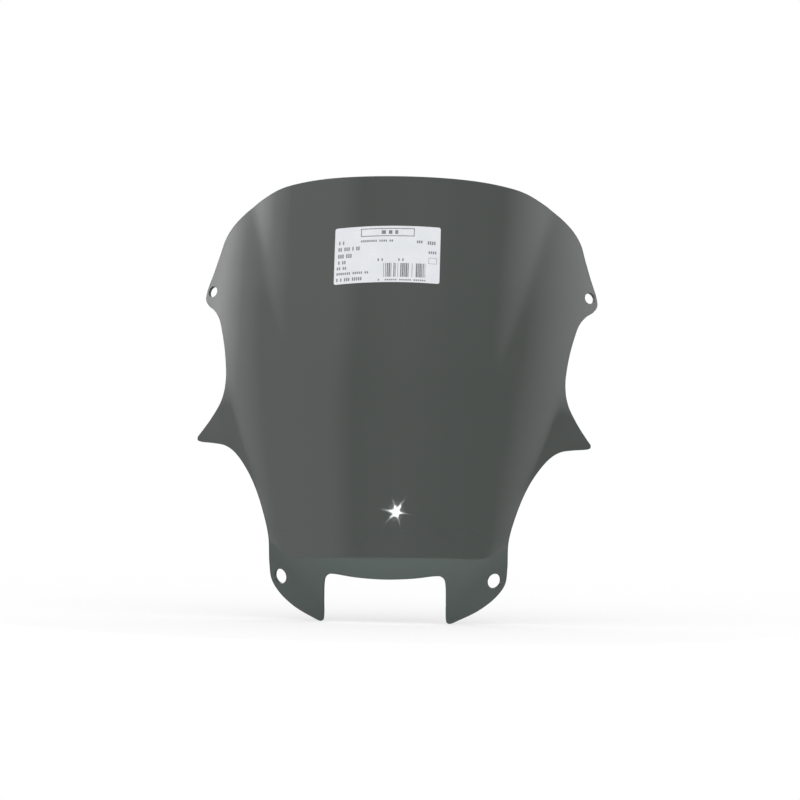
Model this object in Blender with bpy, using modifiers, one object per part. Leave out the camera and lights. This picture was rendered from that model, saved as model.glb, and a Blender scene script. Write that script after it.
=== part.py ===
"""Motorcycle windshield screen: one thermoformed smoked acrylic panel with four screw holes, and
the product label stuck on its outer face.

Metres, +Z up. The outer face looks along -Y and the panel is symmetric about X = 0. The origin lies
midway between the two lower screw holes. The panel is made in the order of the real one: a flat
blank is cut to the outline, formed over a mould, given its thickness, and drilled.
"""

import bpy
import bmesh
import numpy as np
from mathutils import Matrix, Vector

MM = 0.001

# Panel
THICKNESS = 3.0 * MM
GRID = 10.0 * MM
OUTLINE_STEP = 8.0 * MM

# Form of the outer face: upright profile on the centre line, plan curvature across it
NOSE_HEIGHT = 0.0645
PROFILE_RADIUS = 0.62
STRAIGHT_ABOVE = 0.29
PLAN_CURVATURE = 5.53
PLAN_CURVATURE_FALL = 6.5

# Valleys that run down and in from the top corners and die out, and the shoulders outside them
VALLEY_AT_ZERO = 0.0534
VALLEY_SLANT = 0.26
VALLEY_SOFTNESS = 0.05
VALLEY_WIDTH = ((0.17, 0.075), (0.25, 0.118), (0.36, 0.131), (0.40, 0.150))
VALLEY_SLOPE = ((0.17, 0.0), (0.22, 0.127), (0.28, 0.187), (0.40, 0.382))
SHOULDER_SOFTNESS = 0.006
SHOULDER_SLOPE = ((0.17, 0.0), (0.25, 0.114), (0.30, 0.206), (0.40, 0.490))

# Creases that set off the side flanges: where they run, and how the slope changes across them
CREASE_SOFTNESS = 0.004
CREASE_LINE = (
    (-0.045, 0.050),
    (0.010, 0.093),
    (0.060, 0.114),
    (0.130, 0.149),
    (0.180, 0.1605),
    (0.260, 0.1780),
    (0.330, 0.1805),
)
CREASE_SLOPE = (
    (-0.045, 0.0),
    (0.0, 0.12),
    (0.040, 0.0),
    (0.080, 0.0),
    (0.130, -0.54),
    (0.180, -0.05),
    (0.225, -0.06),
    (0.262, 0.0),
)

# Screw holes on the right, mirrored to the left: centre x and z, radius, radius of the flat land
# round the hole, and the slope of that land across and up the panel
HOLES = {
    "upper": (0.184, 0.273, 0.0052, 0.009, 0.80, 0.31),
    "lower": (0.103, 0.0, 0.0070, 0.012, 0.68, -0.23),
}
LAND_BLEND = 0.010
DRILL_SIDES = 40

# Right half of the outline in millimetres, from the middle of the bottom notch to the top
OUTLINE = (
    (0.0, 0.0),
    (28.0, 1.4),
    (48.0, 4.0),
    (53.5, 3.9),
    (57.2, 0.8),
    (58.4, -5.0),
    (58.8, -20.0),
    (59.0, -37.5),
    (59.8, -40.6),
    (62.5, -41.4),
    (70.0, -38.3),
    (89.0, -28.5),
    (104.5, -15.8),
    (112.8, -3.5),
    (115.0, 12.0),
    (116.0, 37.5),
    (122.0, 61.5),
    (131.0, 85.5),
    (141.0, 103.5),
    (152.8, 118.0),
    (162.5, 124.0),
    (175.0, 126.0),
    (187.0, 127.0),
    (190.3, 128.3),
    (190.6, 131.4),
    (187.8, 135.4),
    (177.0, 151.5),
    (168.0, 169.5),
    (165.0, 187.5),
    (167.0, 211.5),
    (171.5, 233.0),
    (176.0, 247.0),
    (181.5, 254.5),
    (188.3, 259.6),
    (191.6, 265.0),
    (190.8, 273.0),
    (184.8, 291.0),
    (179.0, 309.5),
    (174.0, 325.5),
    (166.0, 338.6),
    (155.0, 350.0),
    (147.3, 356.2),
    (138.3, 363.2),
    (119.5, 374.0),
    (95.0, 380.6),
    (60.0, 385.2),
    (0.0, 387.4),
)

# Label: size of the sheet, where its middle lies, its tilt, and how far its ends droop
LABEL_WIDTH = 0.1020
LABEL_HEIGHT = 0.0545
LABEL_CORNER = 0.002
LABEL_MIDDLE = (-0.0080, 0.3110)
LABEL_TILT = 0.026
LABEL_DROOP = 0.9
LABEL_THICKNESS = 0.3 * MM
LABEL_GAP = 0.3 * MM
LABEL_GRID = 8.0 * MM


def smooth(z, knots):
    """Smooth curve through (height, value) knots, level beyond both ends."""
    at, value = np.array(knots, float).T
    slope = np.gradient(value, at)
    slope[[0, -1]] = 0.0
    z = np.clip(z, at[0], at[-1])
    i = np.clip(np.searchsorted(at, z, side="right") - 1, 0, len(at) - 2)
    span = at[i + 1] - at[i]
    t = (z - at[i]) / span
    step = t * t * (3 - 2 * t)
    bow = span * t * (1 - t) * ((1 - t) * slope[i] - t * slope[i + 1])
    return value[i] * (1 - step) + value[i + 1] * step + bow


def profile(z):
    """Depth of the centre line: an arc about the nose, then straight."""
    arc_top = STRAIGHT_ABOVE - NOSE_HEIGHT
    up = z - NOSE_HEIGHT
    arc = np.minimum(up, arc_top) ** 2 / (2 * PROFILE_RADIUS)
    return arc + np.maximum(up - arc_top, 0.0) * arc_top / PROFILE_RADIUS


def valley(x, z):
    """Extra depth of the valley between the middle of the panel and its upper side."""
    width = smooth(z, VALLEY_WIDTH)
    across = (x - VALLEY_AT_ZERO - VALLEY_SLANT * z) / width
    near = np.clip(1 - np.sqrt(across**2 + VALLEY_SOFTNESS**2), 0.0, None)
    return smooth(z, VALLEY_SLOPE) * width * near**3 / 3


def bend(beyond, softness):
    """A slope of 0 that turns into a slope of 1 where beyond passes 0."""
    return (beyond + np.sqrt(beyond**2 + softness**2)) / 2


def shoulder(x, z):
    """Extra depth of the upper side, outside the valley."""
    beyond = x - VALLEY_AT_ZERO - VALLEY_SLANT * z
    return smooth(z, SHOULDER_SLOPE) * bend(beyond, SHOULDER_SOFTNESS)


def flange(x, z):
    """Extra depth beyond the side crease."""
    beyond = x - smooth(z, CREASE_LINE)
    return smooth(z, CREASE_SLOPE) * bend(beyond, CREASE_SOFTNESS)


def mould(x, z):
    curvature = PLAN_CURVATURE - PLAN_CURVATURE_FALL * z
    side = valley(x, z) + shoulder(x, z) + flange(x, z)
    return profile(z) + curvature * x**2 / 2 + side


def depth(x, z):
    """Y of the outer face, with a flat land round each screw hole."""
    x = np.abs(x)
    y = mould(x, z)
    for hole_x, hole_z, _, land, slope_x, slope_z in HOLES.values():
        t = np.clip((np.hypot(x - hole_x, z - hole_z) - land) / LAND_BLEND, 0.0, 1.0)
        keep = t * t * (3 - 2 * t)
        flat = mould(hole_x, hole_z) + slope_x * (x - hole_x) + slope_z * (z - hole_z)
        y = y * keep + flat * (1 - keep)
    return y - mould(HOLES["lower"][0], HOLES["lower"][1])


def outward(x, z):
    """Unit normal of the outer face."""
    e = 0.0005
    slope_x = (depth(x + e, z) - depth(x - e, z)) / (2 * e)
    slope_z = (depth(x, z + e) - depth(x, z - e)) / (2 * e)
    return Vector((slope_x, -1.0, slope_z)).normalized()


def spline(points, step):
    """Closed centripetal Catmull-Rom curve through the points, cut into pieces of about step."""
    points = np.array(points, float)
    out = []
    for i in range(len(points)):
        p = [points[(i + k) % len(points)] for k in (-1, 0, 1, 2)]
        t = np.cumsum([0.0] + [np.sqrt(np.linalg.norm(p[k + 1] - p[k])) for k in range(3)])
        count = max(1, int(np.ceil(np.linalg.norm(p[2] - p[1]) / step)))
        for u in np.linspace(t[1], t[2], count, endpoint=False):
            a = [lerp(p[k], p[k + 1], (u - t[k]) / (t[k + 1] - t[k])) for k in range(3)]
            b = [lerp(a[k], a[k + 1], (u - t[k]) / (t[k + 2] - t[k])) for k in range(2)]
            out.append(lerp(b[0], b[1], (u - t[1]) / (t[2] - t[1])))
    return out


def lerp(a, b, t):
    return a + (b - a) * t


def outline():
    right = [(x * MM, z * MM) for x, z in OUTLINE]
    left = [(-x, z) for x, z in right[-2:0:-1]]
    return spline(right + left, OUTLINE_STEP)


def rounded_rectangle(width, height, radius, steps=4):
    points = []
    for corner in range(4):
        angle = corner * np.pi / 2
        side_x = (width / 2 - radius) * (1 if corner in (0, 3) else -1)
        side_z = (height / 2 - radius) * (1 if corner < 2 else -1)
        for turn in np.linspace(angle, angle + np.pi / 2, steps):
            points.append((side_x + radius * np.cos(turn), side_z + radius * np.sin(turn)))
    return points


def cut_lines(bm, faces, axis, low, high, step):
    """Cuts the given flat faces along evenly spaced lines across one axis, symmetric about the middle."""
    normal = Vector((1, 0, 0)) if axis == 0 else Vector((0, 0, 1))
    count = int(round((high - low) / step))
    for k in range(1, count):
        point = normal * (low + (high - low) * k / count)
        wanted = faces()
        geometry = set(wanted) | {e for f in wanted for e in f.edges}
        geometry |= {v for f in wanted for v in f.verts}
        bmesh.ops.bisect_plane(bm, geom=list(geometry), dist=1e-5, plane_co=point, plane_no=normal)


def flat_sheet(points, step):
    """A flat sheet in the XZ plane with the given outline, cut into cells so that it can be formed."""
    bm = bmesh.new()
    bm.faces.new([bm.verts.new((x, 0.0, z)) for x, z in points])
    corners = np.array(points)
    for axis in (0, 1):
        low, high = corners[:, axis].min(), corners[:, axis].max()
        cut_lines(bm, lambda: bm.faces[:], axis, low, high, step)
    return bm


def refine_lands(bm):
    """Finer cells round the screw holes, so that each land comes out flat."""
    for hole_x, hole_z, _, land, _, _ in HOLES.values():
        for side in (-1, 1):
            middle = Vector((side * hole_x, 0.0, hole_z))
            reach = land + LAND_BLEND

            def near():
                return [f for f in bm.faces if (f.calc_center_median() - middle).length < reach]

            cut_lines(bm, near, 0, middle.x - reach, middle.x + reach, land / 2.5)
            cut_lines(bm, near, 1, middle.z - reach, middle.z + reach, land / 2.5)


def material(name, colour, roughness, alpha=1.0):
    made = bpy.data.materials.new(name)
    made.use_nodes = True
    shader = made.node_tree.nodes["Principled BSDF"]
    shader.inputs["Base Color"].default_value = (*colour, 1.0)
    shader.inputs["Roughness"].default_value = roughness
    shader.inputs["Metallic"].default_value = 0.0
    shader.inputs["Alpha"].default_value = alpha
    return made


def new_object(name, bm, collection, surface=None):
    mesh = bpy.data.meshes.new(name)
    bm.to_mesh(mesh)
    bm.free()
    made = bpy.data.objects.new(name, mesh)
    collection.objects.link(made)
    if surface:
        mesh.materials.append(surface)
    return made


def face_outwards(bm):
    """Turns every face of an open sheet to look along -Y."""
    bmesh.ops.triangulate(bm, faces=bm.faces[:])
    bm.normal_update()
    bmesh.ops.reverse_faces(bm, faces=[f for f in bm.faces if f.normal.y > 0])


def solidify(sheet, thickness, offset):
    thick = sheet.modifiers.new("thickness", "SOLIDIFY")
    thick.thickness = thickness
    thick.offset = offset
    thick.use_even_offset = True


def drill(panel, name, side, cutters):
    """One screw hole, square to the land it goes through."""
    hole_x, hole_z, radius, _, slope_x, slope_z = HOLES[name]
    normal = Vector((side * slope_x, -1.0, slope_z)).normalized()
    middle = Vector((side * hole_x, float(depth(hole_x, hole_z)), hole_z))
    place = Matrix.Translation(middle) @ normal.to_track_quat("Z", "Y").to_matrix().to_4x4()
    bm = bmesh.new()
    bmesh.ops.create_cone(
        bm,
        cap_ends=True,
        segments=DRILL_SIDES,
        radius1=radius,
        radius2=radius,
        depth=8 * THICKNESS,
        matrix=place,
    )
    label = f"drill_{name}_{'right' if side > 0 else 'left'}"
    cutter = new_object(label, bm, cutters)
    cutter.hide_render = True
    cutter.display_type = "WIRE"
    cut = panel.modifiers.new(label, "BOOLEAN")
    cut.operation = "DIFFERENCE"
    cut.solver = "EXACT"
    cut.object = cutter


def make_windscreen(collection, cutters):
    bm = flat_sheet(outline(), GRID)
    refine_lands(bm)
    bmesh.ops.triangulate(bm, faces=bm.faces[:])
    for vert in bm.verts:
        vert.co.y = float(depth(vert.co.x, vert.co.z))
    face_outwards(bm)
    acrylic = material("smoked_acrylic", (0.075, 0.085, 0.08), 0.08, 0.8)
    panel = new_object("windscreen", bm, collection, acrylic)
    solidify(panel, THICKNESS, -1.0)
    for name in HOLES:
        for side in (-1, 1):
            drill(panel, name, side, cutters)
    return panel


def make_label(collection):
    flat = rounded_rectangle(LABEL_WIDTH, LABEL_HEIGHT, LABEL_CORNER)
    bm = flat_sheet(flat, LABEL_GRID)
    bmesh.ops.triangulate(bm, faces=bm.faces[:])
    turn = Matrix.Rotation(-LABEL_TILT, 3, "Y")
    for vert in bm.verts:
        droop = LABEL_DROOP * vert.co.x**2
        spot = turn @ (vert.co - Vector((0, 0, droop)))
        x, z = spot.x + LABEL_MIDDLE[0], spot.z + LABEL_MIDDLE[1]
        normal = outward(x, z)
        vert.co = Vector((x, float(depth(x, z)), z)) + normal * LABEL_GAP
    face_outwards(bm)
    paper = material("label_paper", (0.70, 0.72, 0.74), 0.5)
    label = new_object("product_label", bm, collection, paper)
    solidify(label, LABEL_THICKNESS, 1.0)
    return label


def new_collection(name):
    made = bpy.data.collections.new(name)
    bpy.context.scene.collection.children.link(made)
    return made


def main():
    for old in list(bpy.data.objects):
        bpy.data.objects.remove(old, do_unlink=True)
    parts = new_collection("windshield_screen")
    cutters = new_collection("cutters")
    root = bpy.data.objects.new("screen_datum", None)
    parts.objects.link(root)
    for piece in (make_windscreen(parts, cutters), make_label(parts)):
        piece.parent = root


main()
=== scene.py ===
"""Looks of the windshield screen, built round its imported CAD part: the smoked acrylic panel as a finely
formed sheet with rounded, polished edges, and the paper label on its outer face with its generic print.

Metres, +Z up, in the CAD part's own frame: the outer face looks along -Y, and the origin lies midway
between the two lower screw holes. Points written (x, z) lie on the flat blank that is then formed.
"""

import math

import bpy
import numpy as np
from mathutils import Matrix, Vector
from mathutils.geometry import delaunay_2d_cdt
from mathutils.kdtree import KDTree

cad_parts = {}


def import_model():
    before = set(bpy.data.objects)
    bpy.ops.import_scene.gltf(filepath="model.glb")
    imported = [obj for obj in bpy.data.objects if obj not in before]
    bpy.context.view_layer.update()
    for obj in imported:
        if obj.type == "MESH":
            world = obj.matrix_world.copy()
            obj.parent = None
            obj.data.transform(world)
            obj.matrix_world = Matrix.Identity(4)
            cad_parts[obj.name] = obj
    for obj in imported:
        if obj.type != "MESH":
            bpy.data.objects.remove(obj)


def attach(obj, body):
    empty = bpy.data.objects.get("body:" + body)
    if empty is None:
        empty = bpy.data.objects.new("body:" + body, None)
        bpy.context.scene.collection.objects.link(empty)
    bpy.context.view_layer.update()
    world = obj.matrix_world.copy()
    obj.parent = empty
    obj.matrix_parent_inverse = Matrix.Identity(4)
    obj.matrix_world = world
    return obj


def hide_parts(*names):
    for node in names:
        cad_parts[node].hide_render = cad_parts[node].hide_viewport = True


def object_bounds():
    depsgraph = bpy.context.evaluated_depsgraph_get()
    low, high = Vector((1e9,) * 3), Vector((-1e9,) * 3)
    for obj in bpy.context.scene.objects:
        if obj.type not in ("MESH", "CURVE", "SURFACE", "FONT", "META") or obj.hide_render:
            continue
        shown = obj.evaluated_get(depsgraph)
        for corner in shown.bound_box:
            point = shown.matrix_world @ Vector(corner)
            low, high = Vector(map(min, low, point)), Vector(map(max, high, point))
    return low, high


MM = 0.001

# Panel: the same driving dimensions as the CAD part
THICKNESS = 3.0 * MM
NOSE_HEIGHT = 0.0645
PROFILE_RADIUS = 0.62
STRAIGHT_ABOVE = 0.29
PLAN_CURVATURE = 5.53
PLAN_CURVATURE_FALL = 6.5
VALLEY_AT_ZERO = 0.0534
VALLEY_SLANT = 0.26
VALLEY_SOFTNESS = 0.05
VALLEY_WIDTH = ((0.17, 0.075), (0.25, 0.118), (0.36, 0.131), (0.40, 0.150))
VALLEY_SLOPE = ((0.17, 0.0), (0.22, 0.127), (0.28, 0.187), (0.40, 0.382))
SHOULDER_SOFTNESS = 0.006
SHOULDER_SLOPE = ((0.17, 0.0), (0.25, 0.114), (0.30, 0.206), (0.40, 0.490))
CREASE_SOFTNESS = 0.004
CREASE_LINE = (
    (-0.045, 0.050),
    (0.010, 0.093),
    (0.060, 0.114),
    (0.130, 0.149),
    (0.180, 0.1605),
    (0.260, 0.1780),
    (0.330, 0.1805),
)
CREASE_SLOPE = (
    (-0.045, 0.0),
    (0.0, 0.12),
    (0.040, 0.0),
    (0.080, 0.0),
    (0.130, -0.54),
    (0.180, -0.05),
    (0.225, -0.06),
    (0.262, 0.0),
)

# Screw holes on the right, mirrored to the left: centre x and z, and radius
HOLES = {"upper": (0.184, 0.273, 0.0052), "lower": (0.103, 0.0, 0.0070)}

# Right half of the outline in millimetres, from the middle of the bottom notch to the top
OUTLINE = (
    (0.0, 0.0),
    (28.0, 1.4),
    (48.0, 4.0),
    (53.5, 3.9),
    (57.2, 0.8),
    (58.4, -5.0),
    (58.8, -20.0),
    (59.0, -37.5),
    (59.8, -40.6),
    (62.5, -41.4),
    (70.0, -38.3),
    (89.0, -28.5),
    (104.5, -15.8),
    (112.8, -3.5),
    (115.0, 12.0),
    (116.0, 37.5),
    (122.0, 61.5),
    (131.0, 85.5),
    (141.0, 103.5),
    (152.8, 118.0),
    (162.5, 124.0),
    (175.0, 126.0),
    (187.0, 127.0),
    (190.3, 128.3),
    (190.6, 131.4),
    (187.8, 135.4),
    (177.0, 151.5),
    (168.0, 169.5),
    (165.0, 187.5),
    (167.0, 211.5),
    (171.5, 233.0),
    (176.0, 247.0),
    (181.5, 254.5),
    (188.3, 259.6),
    (191.6, 265.0),
    (190.8, 273.0),
    (184.8, 291.0),
    (179.0, 309.5),
    (174.0, 325.5),
    (166.0, 338.6),
    (155.0, 350.0),
    (147.3, 356.2),
    (138.3, 363.2),
    (119.5, 374.0),
    (95.0, 380.6),
    (60.0, 385.2),
    (0.0, 387.4),
)

# How finely the sheet is cut before it is formed, how its cut edges are rounded, and how far apart
# the points lie whose depths give the slope of its face
CELL = 2.5 * MM
OUTLINE_STEP = 2.0 * MM
HOLE_SIDES = 72
CLEAR_OF_RIM = 1.4 * MM
EDGE_RADIUS = 0.9 * MM
HOLE_EDGE_RADIUS = 0.8 * MM
EDGE_STEPS = 5
SLOPE_STEP = 0.5 * MM
SAME_POINT = 1e-7

# Label: its sheet, and its print in millimetres from its middle
LABEL_WIDTH = 0.1020
LABEL_HEIGHT = 0.0545
LABEL_CORNER = 0.002
LABEL_MIDDLE = (-0.0080, 0.3110)
LABEL_TILT = 0.026
LABEL_DROOP = 0.9
LABEL_THICKNESS = 0.15 * MM
LABEL_GAP = 0.05 * MM
INK_LIFT = 0.02 * MM
LABEL_CELL = 1.5 * MM
LABEL_CORNER_CUTS = 6

# Rows of generic marks: left end, middle height, mark height, and the marks in each group
PRINT_ROWS = (
    (-47.0, 12.4, 3.4, (1, 1)),
    (-47.4, 6.3, 3.6, (2, 3, 1, 2)),
    (-47.4, -0.4, 3.8, (3, 3)),
    (-47.2, -6.5, 3.2, (1, 2)),
    (-48.4, -12.1, 2.8, (2, 2)),
    (-48.6, -17.4, 2.2, (7, 5, 2)),
    (-48.6, -23.2, 3.2, (1, 1, 3, 5)),
    (-25.4, 12.9, 2.0, (8, 4, 2)),
    (28.6, 12.2, 2.6, (3,)),
    (39.0, 11.6, 3.4, (4,)),
    (40.0, 2.4, 2.6, (4,)),
    (-8.8, -5.6, 2.6, (1, 1)),
    (11.2, -5.6, 2.6, (1, 1)),
    (-8.0, -25.0, 1.6, (1,)),
    (-1.2, -25.0, 1.4, (6, 6, 6)),
)
MARK_WIDTH = 1.35
MARK_PITCH = 2.0
GROUP_GAP = 1.8

# Frames on the label: left, right, bottom, top, line width
PRINT_FRAMES = ((-25.8, 26.2, 17.2, 25.1, 0.8), (40.2, 48.0, -8.6, -2.8, 0.35))

# Plain blocks in the header frame: left, right, bottom, top
HEADER_BLOCKS = ((-5.6, -1.6, 19.4, 23.0), (1.4, 4.8, 19.4, 23.0), (7.4, 10.4, 19.4, 23.0))

# Barcode-like stripes: left end, bottom, top, and the widths of stripe and gap in turn
STRIPES_LEFT = -3.0
STRIPES_BOTTOM = -22.2
STRIPES_TOP = -8.8
STRIPES = (
    (0.5, 1.3), (0.7, 0.9), (1.2, 0.5), (1.5, 0.6), (0.6, 2.0), (1.1, 0.5), (0.6, 1.8), (0.4, 2.2),
    (1.2, 0.5), (1.4, 0.4), (1.0, 0.5), (1.6, 0.5), (0.9, 3.0), (0.5, 3.4), (1.3, 0.4), (1.1, 0.5),
    (1.5, 0.4), (0.8, 0.6), (0.9, 0.9), (0.5, 0.0),
)

# Camera: level, a little round to the right, rolled slightly, with a long lens
CAMERA_AZIMUTH = math.radians(5.77)
CAMERA_ROLL = 0.0198
CAMERA_DISTANCE = 4.6
CAMERA_LENS = 215.0
CAMERA_AIM = (0.0, 0.030, 0.170)
CAMERA_ASIDE = 5.82 * MM
CAMERA_ABOVE = 1.08 * MM

# Studio as the gloss sees it: light at each direction round the panel, in degrees from -Y towards
# +X, with a dark room in front between two white side sheets
STUDIO = (
    (-180, 1.0),
    (-120, 1.0),
    (-86, 4.8),
    (-76, 2.0),
    (-66, 1.0),
    (-36, 0.9),
    (-24, 0.35),
    (0, 0.45),
    (25, 0.3),
    (50, 0.3),
    (60, 1.2),
    (80, 3.1),
    (120, 1.0),
    (180, 1.0),
)
STUDIO_MOST = 5.0
WHITE = (1.0, 1.0, 1.0, 1.0)

# Light from above that the gloss also sees: the heights in degrees where it starts and is full
CEILING_FROM = 22
CEILING_TO = 38
CEILING_LIGHT = 0.17

# Floor: the radius and half angle of its round front edge, its reach to the sides and behind, its
# own grey, and what the gloss sees on it at two places in front of the panel: near the panel a darker
# painted shadow where the panel's shade would fall, and farther out a brighter, teal painted light
FLOOR_FRONT = 0.39
FLOOR_ROUND = 72
FLOOR_REACH = 3.0
FLOOR_GREY = (0.50, 0.50, 0.50, 1.0)
FLOOR_NEAR = -0.05
FLOOR_FAR = -0.30
# Emission colours seen only by the gloss: painted shadow of the panel near it, painted light farther out
FLOOR_PAINTED_SHADOW_NEAR = (0.19, 0.31, 0.29, 1.0)
FLOOR_PAINTED_LIGHT_FAR = (0.64, 0.95, 0.90, 1.0)

# Highlight of a small lamp in the gloss: its place and, in millimetres as they appear on the panel,
# its core's half width and half height, and the angle and length of each ray. The lamp stands
# FLASH_AWAY metres off, with FLASH_APART between its layers
FLASH_AT = (0.0107, 0.0649)
FLASH_CORE = (3.4, 4.2)
FLASH_RAYS = ((106, 17.0), (57, 23.0), (-8, 17.5), (-72, 18.5), (-133, 20.0), (171, 21.0))
FLASH_AWAY = 2.0
FLASH_APART = 0.01
FLASH_RAY_CUTS = 9
FLASH_CORE_SIDES = 32

# Its layers, from the front one: what part of their length the rays have, the half width they start
# with, how large the core is, and how bright the layer is
FLASH_LAYERS = ((0.40, 1.8, 1.1, 40.0), (0.70, 1.2, 1.35, 7.0), (1.0, 0.8, 2.2, 2.0))


def smooth(z, knots):
    """Smooth curve through (height, value) knots, level beyond both ends."""
    at, value = np.array(knots, float).T
    slope = np.gradient(value, at)
    slope[[0, -1]] = 0.0
    z = np.clip(z, at[0], at[-1])
    i = np.clip(np.searchsorted(at, z, side="right") - 1, 0, len(at) - 2)
    span = at[i + 1] - at[i]
    t = (z - at[i]) / span
    step = t * t * (3 - 2 * t)
    bow = span * t * (1 - t) * ((1 - t) * slope[i] - t * slope[i + 1])
    return value[i] * (1 - step) + value[i + 1] * step + bow


def profile(z):
    """Depth of the centre line: an arc about the nose, then straight."""
    arc_top = STRAIGHT_ABOVE - NOSE_HEIGHT
    up = z - NOSE_HEIGHT
    arc = np.minimum(up, arc_top) ** 2 / (2 * PROFILE_RADIUS)
    return arc + np.maximum(up - arc_top, 0.0) * arc_top / PROFILE_RADIUS


def valley(x, z):
    """Extra depth of the valley between the middle of the panel and its upper side."""
    width = smooth(z, VALLEY_WIDTH)
    across = (x - VALLEY_AT_ZERO - VALLEY_SLANT * z) / width
    near = np.clip(1 - np.sqrt(across**2 + VALLEY_SOFTNESS**2), 0.0, None)
    return smooth(z, VALLEY_SLOPE) * width * near**3 / 3


def bend(beyond, softness):
    """A slope of 0 that turns into a slope of 1 where beyond passes 0."""
    return (beyond + np.sqrt(beyond**2 + softness**2)) / 2


def shoulder(x, z):
    """Extra depth of the upper side, outside the valley."""
    beyond = x - VALLEY_AT_ZERO - VALLEY_SLANT * z
    return smooth(z, SHOULDER_SLOPE) * bend(beyond, SHOULDER_SOFTNESS)


def flange(x, z):
    """Extra depth beyond the side crease."""
    beyond = x - smooth(z, CREASE_LINE)
    return smooth(z, CREASE_SLOPE) * bend(beyond, CREASE_SOFTNESS)


def mould(x, z):
    curvature = PLAN_CURVATURE - PLAN_CURVATURE_FALL * z
    side = valley(x, z) + shoulder(x, z) + flange(x, z)
    return profile(z) + curvature * x**2 / 2 + side


def depth(x, z):
    """Y of the outer face, measured from the lower screw holes."""
    low_x, low_z, _ = HOLES["lower"]
    return mould(np.abs(x), z) - mould(low_x, low_z)


def unit(vectors):
    return vectors / np.linalg.norm(vectors, axis=1, keepdims=True)


def outward(flat):
    """Unit normals of the outer face over flat (x, z) points."""
    x, z = flat.T
    step = SLOPE_STEP
    slope_x = (depth(x + step, z) - depth(x - step, z)) / (2 * step)
    slope_z = (depth(x, z + step) - depth(x, z - step)) / (2 * step)
    return unit(np.stack([slope_x, -np.ones_like(x), slope_z], axis=1))


def formed(flat, below=0.0):
    """Flat (x, z) points as they lie in the formed panel, the given distance below its outer face."""
    x, z = flat.T
    return np.stack([x, depth(x, z), z], axis=1) - outward(flat) * below


def spline(points, step):
    """Closed centripetal Catmull-Rom curve through the points, cut into pieces of about step."""
    points = np.array(points, float)
    out = []
    for i in range(len(points)):
        p = [points[(i + k) % len(points)] for k in (-1, 0, 1, 2)]
        t = np.cumsum([0.0] + [np.sqrt(np.linalg.norm(p[k + 1] - p[k])) for k in range(3)])
        count = max(1, int(np.ceil(np.linalg.norm(p[2] - p[1]) / step)))
        for u in np.linspace(t[1], t[2], count, endpoint=False):
            a = [lerp(p[k], p[k + 1], (u - t[k]) / (t[k + 1] - t[k])) for k in range(3)]
            b = [lerp(a[k], a[k + 1], (u - t[k]) / (t[k + 2] - t[k])) for k in range(2)]
            out.append(lerp(b[0], b[1], (u - t[1]) / (t[2] - t[1])))
    return np.array(out)


def lerp(a, b, t):
    return a + (b - a) * t


def outline():
    right = [(x * MM, z * MM) for x, z in OUTLINE]
    left = [(-x, z) for x, z in right[-2:0:-1]]
    return spline(right + left, OUTLINE_STEP)


def hole(name, side):
    """Flat points of a hole that is round in the formed panel, with the panel on their left."""
    hole_x, hole_z, radius = HOLES[name]
    middle = np.array([[side * hole_x, hole_z]])
    normal = outward(middle)[0]
    across = unit(np.cross(normal, (0.0, 0.0, 1.0))[None])[0]
    up = np.cross(across, normal)
    turn = np.linspace(0.0, 2 * np.pi, HOLE_SIDES, endpoint=False)[:, None]
    ring = formed(middle) + radius * (np.cos(turn) * across + np.sin(turn) * up)
    flat = ring[:, [0, 2]]
    return flat if turns_right(flat) else flat[::-1]


def turns_right(flat):
    x, z = flat.T
    return np.sum(x * np.roll(z, -1) - np.roll(x, -1) * z) < 0


def into_panel(loop):
    """Unit vectors in the formed face, square to a loop of flat points, that lead into the panel."""
    along = np.roll(loop, -1, axis=0) - np.roll(loop, 1, axis=0)
    normal = outward(loop)
    rise = -(normal[:, 0] * along[:, 0] + normal[:, 2] * along[:, 1]) / normal[:, 1]
    tangent = np.stack([along[:, 0], rise, along[:, 1]], axis=1)
    return unit(np.cross(normal, tangent))


def rim_steps(radius):
    """Steps over a rounded cut edge: how far in, how far down, and how far the normal has turned."""
    turn = np.linspace(0.0, np.pi / 2, EDGE_STEPS + 1)
    inset = radius * (1 - np.sin(turn))
    down = radius * (1 - np.cos(turn))
    outer = list(zip(inset, down, turn))
    inner = [(a, THICKNESS - b, np.pi - t) for a, b, t in reversed(outer)]
    return outer + inner


def inset(loop, distance):
    return loop + into_panel(loop)[:, [0, 2]] * distance


def in_hole(x, z, holes):
    for ring in holes:
        middle = ring.mean(axis=0)
        reach = np.linalg.norm(ring - middle, axis=1).max()
        if math.hypot(x - middle[0], z - middle[1]) < reach:
            return True
    return False


def inner_points(points, holes):
    """Grid points of the blank that keep clear of its rings and of its holes."""
    tree = KDTree(len(points))
    for i, (x, z) in enumerate(points):
        tree.insert((x, z, 0.0), i)
    tree.balance()
    low, high = points.min(axis=0), points.max(axis=0)
    return [
        (x, z)
        for x in np.arange(low[0] + CELL / 2, high[0], CELL)
        for z in np.arange(low[1] + CELL / 2, high[1], CELL)
        if tree.find((x, z, 0.0))[2] > CLEAR_OF_RIM and not in_hole(x, z, holes)
    ]


def ring_edges(rings):
    edges, start = [], 0
    for ring in rings:
        count = len(ring)
        edges += [(start + i, start + (i + 1) % count) for i in range(count)]
        start += count
    return edges


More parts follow.
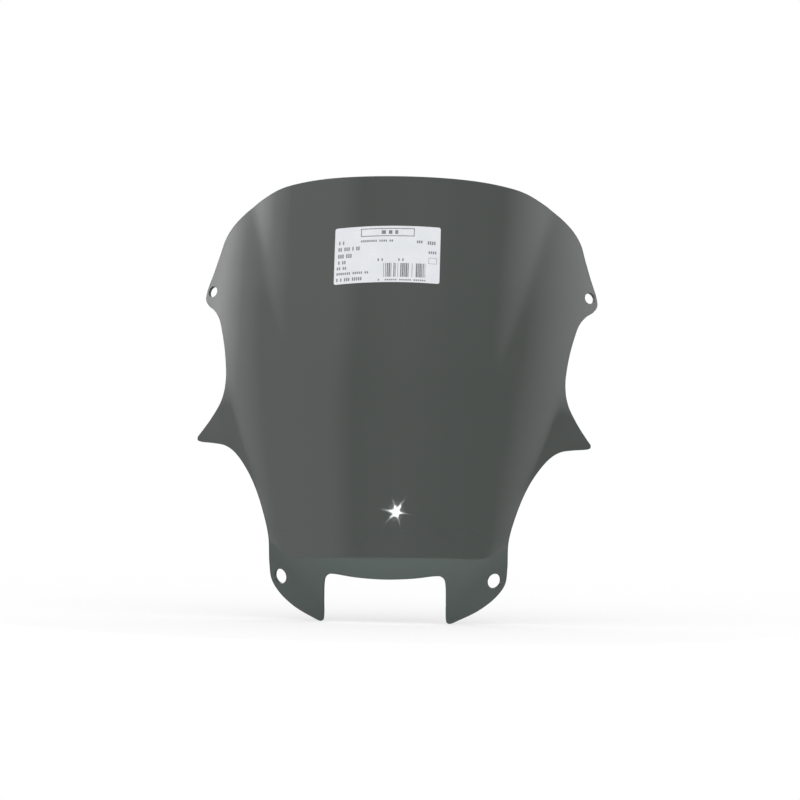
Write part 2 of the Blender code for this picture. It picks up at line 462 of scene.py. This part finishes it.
def blank_triangles(rings):
    """Flat points and triangles of the blank between its rings: the rings' points come first."""
    points = np.concatenate(rings)
    inner = inner_points(points, rings[1:])
    every = [Vector(p) for p in points] + [Vector(p) for p in inner]
    made = delaunay_2d_cdt(every, ring_edges(rings), [], 1, SAME_POINT)
    owner = np.array([ids[0] for ids in made[3]])
    ring_of = np.full(len(every), -1)
    ring_of[: len(points)] = np.repeat(np.arange(len(rings)), [len(ring) for ring in rings])
    triangles = np.array(made[2])
    of = ring_of[owner[triangles]]
    over_hole = (of[:, 0] > 0) & (of[:, 0] == of[:, 1]) & (of[:, 1] == of[:, 2])
    used, index = np.unique(owner[triangles[~over_hole]], return_inverse=True)
    places = np.array([tuple(v) for v in every])
    assert (used[: len(points)] == np.arange(len(points))).all()
    return places[used], index.reshape(-1, 3)


def rim(loop, radius):
    """Rings of places and normals over the rounded edge of one loop, between the two faces."""
    into, facing = into_panel(loop), outward(loop)
    steps = rim_steps(radius)[1:-1]
    places = [formed(loop + into[:, [0, 2]] * inwards, below) for inwards, below, _ in steps]
    normals = [np.cos(turn) * facing - np.sin(turn) * into for _, _, turn in steps]
    return places, normals


def panel_mesh():
    """The whole panel: two formed faces, joined over rounded edges at the outline and the holes."""
    loops = [(outline(), EDGE_RADIUS)]
    loops += [(hole(name, side), HOLE_EDGE_RADIUS) for name in HOLES for side in (-1, 1)]
    flat, triangles = blank_triangles([inset(loop, radius) for loop, radius in loops])
    count = len(flat)
    normal = outward(flat)
    places = [formed(flat), formed(flat, THICKNESS)]
    normals = [normal, -normal]
    faces = triangles.tolist() + (triangles[:, ::-1] + count).tolist()
    total, first = 2 * count, 0
    for loop, radius in loops:
        size = len(loop)
        rim_places, rim_normals = rim(loop, radius)
        places += rim_places
        normals += rim_normals
        rings = [np.arange(first, first + size)]
        for _ in rim_places:
            rings.append(np.arange(total, total + size))
            total += size
        rings.append(rings[0] + count)
        first += size
        for a, b in zip(rings, rings[1:]):
            faces += np.stack([a, b, np.roll(b, -1), np.roll(a, -1)], axis=1).tolist()
    return np.concatenate(places), faces, np.concatenate(normals)


def new_piece(name, places, faces, material, normals=None):
    mesh = bpy.data.meshes.new(name)
    mesh.from_pydata(places.tolist(), [], faces)
    mesh.shade_smooth()
    if normals is not None:
        mesh.normals_split_custom_set_from_vertices(normals.tolist())
    mesh.materials.append(material)
    piece = bpy.data.objects.new(name, mesh)
    bpy.context.scene.collection.objects.link(piece)
    return piece


def on_label(local, lift):
    """Points of the label, given in its own flat frame, as they lie over the panel's outer face."""
    u, v = local.T
    v = v - LABEL_DROOP * u**2
    cos, sin = math.cos(LABEL_TILT), math.sin(LABEL_TILT)
    flat = np.stack([u * cos - v * sin, u * sin + v * cos], axis=1) + LABEL_MIDDLE
    return formed(flat, -lift)


def flat_patch(left, right, bottom, top, cell):
    """Local points and quads of a rectangle cut into cells."""
    across = np.linspace(left, right, max(2, int(np.ceil((right - left) / cell)) + 1))
    up = np.linspace(bottom, top, max(2, int(np.ceil((top - bottom) / cell)) + 1))
    points = np.array([(u, v) for v in up for u in across])
    wide = len(across)
    quads = [
        (r * wide + c, r * wide + c + 1, (r + 1) * wide + c + 1, (r + 1) * wide + c)
        for r in range(len(up) - 1)
        for c in range(wide - 1)
    ]
    return points, quads


def round_corners(local):
    """Moves the corner points of the label sheet in, so that its corners are round."""
    half = np.array([LABEL_WIDTH / 2, LABEL_HEIGHT / 2])
    reach = half - LABEL_CORNER
    beyond = np.maximum(np.abs(local) - reach, 0.0)
    length = np.maximum(np.linalg.norm(beyond, axis=1, keepdims=True), 1e-12)
    longest = np.maximum(beyond.max(axis=1, keepdims=True), 1e-12)
    rounded = beyond * longest / length
    return np.sign(local) * (np.minimum(np.abs(local), reach) + rounded)


def label_lines(half):
    """Where the label sheet is cut along one side: evenly, and more finely in its round corners."""
    straight = half - LABEL_CORNER
    corner = LABEL_CORNER * np.arange(1, LABEL_CORNER_CUTS + 1) / LABEL_CORNER_CUTS
    even = np.arange(-straight, straight, LABEL_CELL)
    return np.unique(np.concatenate([even, [straight], straight + corner, -straight - corner]))


def label_mesh():
    """The label sheet, closed: its face, its back and the thin edge between them."""
    across, up = label_lines(LABEL_WIDTH / 2), label_lines(LABEL_HEIGHT / 2)
    wide, tall = len(across), len(up)
    local = round_corners(np.array([(u, v) for v in up for u in across]))
    face = on_label(local, LABEL_GAP + LABEL_THICKNESS)
    back = on_label(local, LABEL_GAP)
    grid = np.arange(wide * tall).reshape(tall, wide)
    quads = np.stack([grid[:-1, :-1], grid[:-1, 1:], grid[1:, 1:], grid[1:, :-1]], axis=-1)
    quads = quads.reshape(-1, 4)
    border = np.concatenate([grid[0, :-1], grid[:-1, -1], grid[-1, :0:-1], grid[:0:-1, 0]])
    after = np.roll(border, -1)
    count = len(local)
    edge = np.stack([border, border + count, after + count, after], axis=1)
    faces = quads.tolist() + (quads[:, ::-1] + count).tolist() + edge.tolist()
    return np.concatenate([face, back]), faces


def print_marks():
    """Every printed rectangle of the label in millimetres: left, right, bottom, top."""
    marks = list(HEADER_BLOCKS)
    for left, right, bottom, top, line in PRINT_FRAMES:
        marks += [(left, right, top - line, top), (left, right, bottom, bottom + line)]
        marks += [(left, left + line, bottom + line, top - line)]
        marks += [(right - line, right, bottom + line, top - line)]
    for left, middle, height, groups in PRINT_ROWS:
        for size in groups:
            for _ in range(size):
                marks.append((left, left + MARK_WIDTH, middle - height / 2, middle + height / 2))
                left += MARK_PITCH
            left += GROUP_GAP
    left = STRIPES_LEFT
    for stripe, gap in STRIPES:
        marks.append((left, left + stripe, STRIPES_BOTTOM, STRIPES_TOP))
        left += stripe + gap
    return marks


def print_mesh():
    places, faces, start = [], [], 0
    for mark in print_marks():
        left, right, bottom, top = (value * MM for value in mark)
        local, quads = flat_patch(left, right, bottom, top, LABEL_CELL)
        places.append(on_label(local, LABEL_GAP + LABEL_THICKNESS + INK_LIFT))
        faces += [tuple(start + i for i in quad) for quad in quads]
        start += len(local)
    return np.concatenate(places), faces


class Shader:
    """A material or world's node tree, with short calls to add and join nodes."""

    def __init__(self, owner):
        owner.use_nodes = True
        self.tree = owner.node_tree
        self.tree.nodes.clear()

    def add(self, kind, inputs=(), **settings):
        made = self.tree.nodes.new(kind)
        for name, value in settings.items():
            setattr(made, name, value)
        for name, value in dict(inputs).items():
            if isinstance(value, bpy.types.NodeSocket):
                self.tree.links.new(value, made.inputs[name])
            else:
                made.inputs[name].default_value = value
        return made

    def maths(self, operation, *values):
        return self.add("ShaderNodeMath", dict(enumerate(values)), operation=operation).outputs[0]

    def noise(self, where, scale, detail=3.0, stretch=None):
        if stretch is not None:
            where = self.add(
                "ShaderNodeMapping", {"Vector": where, "Scale": stretch}
            ).outputs[0]
        settings = {"Vector": where, "Scale": scale, "Detail": detail}
        return self.add("ShaderNodeTexNoise", settings).outputs["Fac"]

    def between(self, value, low, high, to_low, to_high):
        settings = {0: value, 1: low, 2: high, 3: to_low, 4: to_high}
        return self.add("ShaderNodeMapRange", settings).outputs[0]

    def mix(self, share, first, second):
        settings = {0: share, 6: first, 7: second}
        return self.add("ShaderNodeMix", settings, data_type="RGBA").outputs[2]

    def mirror_ray(self):
        """1 where a gloss looks here, and 0 for the camera, a see-through or a matt surface."""
        ways = self.add("ShaderNodeLightPath").outputs
        return self.maths("MULTIPLY", ways["Is Glossy Ray"], ways["Is Reflection Ray"])

    def finish(self, kind, **outputs):
        out = self.add(kind)
        for name, socket in outputs.items():
            self.tree.links.new(socket, out.inputs[name])


def smoked_acrylic():
    """Polished acrylic, tinted grey-green both at its faces and, by the length of the way, within."""
    made = bpy.data.materials.new("smoked_acrylic")
    s = Shader(made)
    where = s.add("ShaderNodeTexCoord").outputs["Object"]
    forming = s.noise(where, 18.0, 1.0)
    haze = s.noise(where, 60.0, 4.0)
    wipes = s.noise(where, 420.0, 2.0, stretch=(1.0, 1.0, 0.06))
    wear = s.maths("MULTIPLY", haze, wipes)
    roughness = s.between(wear, 0.15, 0.45, 0.02, 0.07)
    ripple = s.add(
        "ShaderNodeBump", {"Strength": 0.05, "Distance": 0.001, "Height": forming}
    ).outputs[0]
    surface = s.add(
        "ShaderNodeBsdfPrincipled",
        {
            "Base Color": (0.205, 0.209, 0.207, 1.0),
            "Roughness": roughness,
            "IOR": 1.49,
            "Transmission Weight": 1.0,
            "Normal": ripple,
        },
    ).outputs[0]
    tint = s.add(
        "ShaderNodeVolumeAbsorption", {"Color": (0.084, 0.164, 0.114, 1.0), "Density": 400.0}
    ).outputs[0]
    s.finish("ShaderNodeOutputMaterial", Surface=surface, Volume=tint)
    return made


def label_paper():
    """Coated paper, very slightly mottled."""
    made = bpy.data.materials.new("label_paper")
    s = Shader(made)
    where = s.add("ShaderNodeTexCoord").outputs["Object"]
    mottle = s.noise(where, 900.0, 3.0)
    cloud = s.noise(where, 70.0, 2.0)
    fleck = s.maths("MULTIPLY", mottle, cloud)
    share = s.between(fleck, 0.1, 0.5, 0.0, 1.0)
    colour = s.mix(share, (0.74, 0.765, 0.80, 1.0), (0.83, 0.845, 0.865, 1.0))
    fibre = s.add(
        "ShaderNodeBump", {"Strength": 0.15, "Distance": 0.0002, "Height": mottle}
    ).outputs[0]
    surface = s.add(
        "ShaderNodeBsdfPrincipled",
        {
            "Base Color": colour,
            "Roughness": s.between(mottle, 0.3, 0.7, 0.42, 0.55),
            "Normal": fibre,
        },
    ).outputs[0]
    s.finish("ShaderNodeOutputMaterial", Surface=surface)
    return made


def label_ink():
    """Thermal print: grey that thins out in places."""
    made = bpy.data.materials.new("label_ink")
    s = Shader(made)
    where = s.add("ShaderNodeTexCoord").outputs["Object"]
    thin = s.between(s.noise(where, 1100.0, 2.0), 0.35, 0.65, 0.0, 1.0)
    colour = s.mix(thin, (0.13, 0.14, 0.15, 1.0), (0.30, 0.315, 0.33, 1.0))
    surface = s.add(
        "ShaderNodeBsdfPrincipled", {"Base Color": colour, "Roughness": s.between(thin, 0, 1, 0.4, 0.6)}
    ).outputs[0]
    s.finish("ShaderNodeOutputMaterial", Surface=surface)
    return made


def studio_world():
    """White all round, except that the gloss of the pieces sees the studio's dark front."""
    world = bpy.data.worlds.new("studio")
    world.cycles.sampling_method = "NONE"
    bpy.context.scene.world = world
    s = Shader(world)
    way = s.add("ShaderNodeTexCoord").outputs["Generated"]
    split = s.add("ShaderNodeSeparateXYZ", {0: way}).outputs
    azimuth = s.maths("ARCTAN2", split["X"], s.maths("MULTIPLY", split["Y"], -1.0))
    ramp = s.add("ShaderNodeValToRGB", {0: s.between(azimuth, -math.pi, math.pi, 0.0, 1.0)})
    stops = ramp.color_ramp.elements
    while len(stops) < len(STUDIO):
        stops.new(0.5)
    for stop, (degrees, _) in zip(stops, STUDIO):
        stop.position = (degrees + 180) / 360
    for stop, (_, light) in zip(stops, STUDIO):
        stop.color = (light / STUDIO_MOST,) * 3 + (1.0,)
    low, high = (math.sin(math.radians(angle)) for angle in (CEILING_FROM, CEILING_TO))
    overhead = s.between(split["Z"], low, high, 0.0, CEILING_LIGHT)
    around = s.add("ShaderNodeBackground", {"Color": ramp.outputs[0], "Strength": STUDIO_MOST})
    ceiling = s.add("ShaderNodeBackground", {"Color": WHITE, "Strength": overhead})
    gloss = s.add("ShaderNodeAddShader", {0: around.outputs[0], 1: ceiling.outputs[0]})
    plain = s.add("ShaderNodeBackground", {"Color": WHITE, "Strength": 1.0})
    seen = s.add(
        "ShaderNodeMixShader", {0: s.mirror_ray(), 1: plain.outputs[0], 2: gloss.outputs[0]}
    )
    s.finish("ShaderNodeOutputWorld", Surface=seen.outputs[0])


def floor(height):
    """Plain pale floor, from a round table's edge in front of the panel to well behind it, with painted
    shadow and painted light that only the gloss sees.
    """
    made = bpy.data.materials.new("floor")
    s = Shader(made)
    where = s.add("ShaderNodeTexCoord").outputs["Object"]
    ahead = s.add("ShaderNodeSeparateXYZ", {0: where}).outputs["Y"]
    # Emission that only the gloss sees: painted shadow of the panel on the floor close in front of it,
    # fading to brighter painted light farther out
    far = s.between(ahead, FLOOR_NEAR, FLOOR_FAR, 0.0, 1.0)
    painted_floor_reflection = s.mix(far, FLOOR_PAINTED_SHADOW_NEAR, FLOOR_PAINTED_LIGHT_FAR)
    surface = s.add(
        "ShaderNodeBsdfPrincipled",
        {
            "Base Color": FLOOR_GREY,
            "Roughness": 0.9,
            "Specular IOR Level": 0.0,
            "Emission Color": s.mix(s.mirror_ray(), FLOOR_GREY, painted_floor_reflection),
            "Emission Strength": 1.0,
        },
    ).outputs[0]
    s.finish("ShaderNodeOutputMaterial", Surface=surface)
    turn = np.radians(np.linspace(-FLOOR_ROUND, FLOOR_ROUND, 33))
    edge = [(FLOOR_FRONT * math.sin(t), -FLOOR_FRONT * math.cos(t)) for t in turn]
    edge = [(-FLOOR_REACH, edge[0][1])] + edge + [(FLOOR_REACH, edge[-1][1])]
    edge += [(FLOOR_REACH, FLOOR_REACH), (-FLOOR_REACH, FLOOR_REACH)]
    places = np.array([(x, y, height) for x, y in edge])
    new_piece("floor", places, [tuple(range(len(edge)))], made)


def camera_frame():
    """The camera's place and, before it is rolled, the ways to its right, behind it and up."""
    cos, sin = math.cos(CAMERA_AZIMUTH), math.sin(CAMERA_AZIMUTH)
    level = Vector((cos, sin, 0.0))
    back = Vector((sin, -cos, 0.0))
    up = Vector((0.0, 0.0, 1.0))
    aim = Vector(CAMERA_AIM) + level * CAMERA_ASIDE + up * CAMERA_ABOVE
    return aim + back * CAMERA_DISTANCE, level, back, up


def camera():
    data = bpy.data.cameras.new("camera")
    data.lens = CAMERA_LENS
    data.clip_end = 100.0
    made = bpy.data.objects.new("camera", data)
    bpy.context.scene.collection.objects.link(made)
    bpy.context.scene.camera = made
    place, level, back, up = camera_frame()
    right = level * math.cos(CAMERA_ROLL) + up * math.sin(CAMERA_ROLL)
    turned = Matrix((right, back.cross(right), back)).transposed().to_4x4()
    made.matrix_world = Matrix.Translation(place) @ turned


def mirrored(flat, away):
    """Where the outer face's gloss at these flat points shows the camera something that far off."""
    at, normal = formed(flat), outward(flat)
    view = unit(np.array(camera_frame()[0]) - at)
    facing = np.sum(view * normal, axis=1, keepdims=True)
    return at + (2 * facing * normal - view) * away


def star(part, half_width, core_scale):
    """Flat quads, in millimetres, of rays that narrow to points round an oval core."""
    quads = []
    cuts = np.linspace(0.0, 0.98, FLASH_RAY_CUTS)
    for degrees, length in FLASH_RAYS:
        way = math.radians(degrees)
        along = np.array([math.cos(way), math.sin(way)]) * length * part
        aside = np.array([-math.sin(way), math.cos(way)]) * half_width
        right, left = (np.outer(cuts, along) + side * np.outer(1 - cuts, aside) for side in (-1, 1))
        quads += [[right[i], right[i + 1], left[i + 1], left[i]] for i in range(len(cuts) - 1)]
    turn = np.linspace(0.0, 2 * np.pi, FLASH_CORE_SIDES + 1)
    oval = np.stack([np.cos(turn), np.sin(turn)], axis=1) * FLASH_CORE * core_scale
    return quads + [[0 * a, a, b, (a + b) / 2] for a, b in zip(oval, oval[1:])]


def flash():
    """A small lamp with six fine rays that only the gloss sees, in layers that fade outwards."""
    for number, (part, half_width, core_scale, light) in enumerate(FLASH_LAYERS):
        made = bpy.data.materials.new("flash")
        s = Shader(made)
        glow = s.add("ShaderNodeEmission", {"Color": WHITE, "Strength": light})
        s.finish("ShaderNodeOutputMaterial", Surface=glow.outputs[0])
        flat = np.array(star(part, half_width, core_scale)).reshape(-1, 2) * MM + FLASH_AT
        faces = np.arange(len(flat)).reshape(-1, 4).tolist()
        lamp = new_piece("flash", mirrored(flat, FLASH_AWAY + number * FLASH_APART), faces, made)
        lamp.visible_camera = False
        lamp.visible_diffuse = False
        lamp.visible_transmission = False
        lamp.visible_volume_scatter = False
        lamp.visible_shadow = False


def panel():
    places, faces, normals = panel_mesh()
    made = new_piece("windscreen_panel", places, faces, smoked_acrylic(), normals)
    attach(made, "root")
    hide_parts("windscreen")


def label():
    places, faces = label_mesh()
    sheet = new_piece("label_sheet", places, faces, label_paper())
    sheet.data.set_sharp_from_angle(angle=math.radians(40))
    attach(sheet, "root")
    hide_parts("product_label")
    places, faces = print_mesh()
    ink = new_piece("label_print", places, faces, label_ink())
    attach(ink, "root")


def main():
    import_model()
    cad_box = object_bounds()
    bpy.context.scene.view_settings.view_transform = "Standard"
    panel()
    label()
    studio_world()
    floor(cad_box[0].z)
    flash()
    camera()


main()
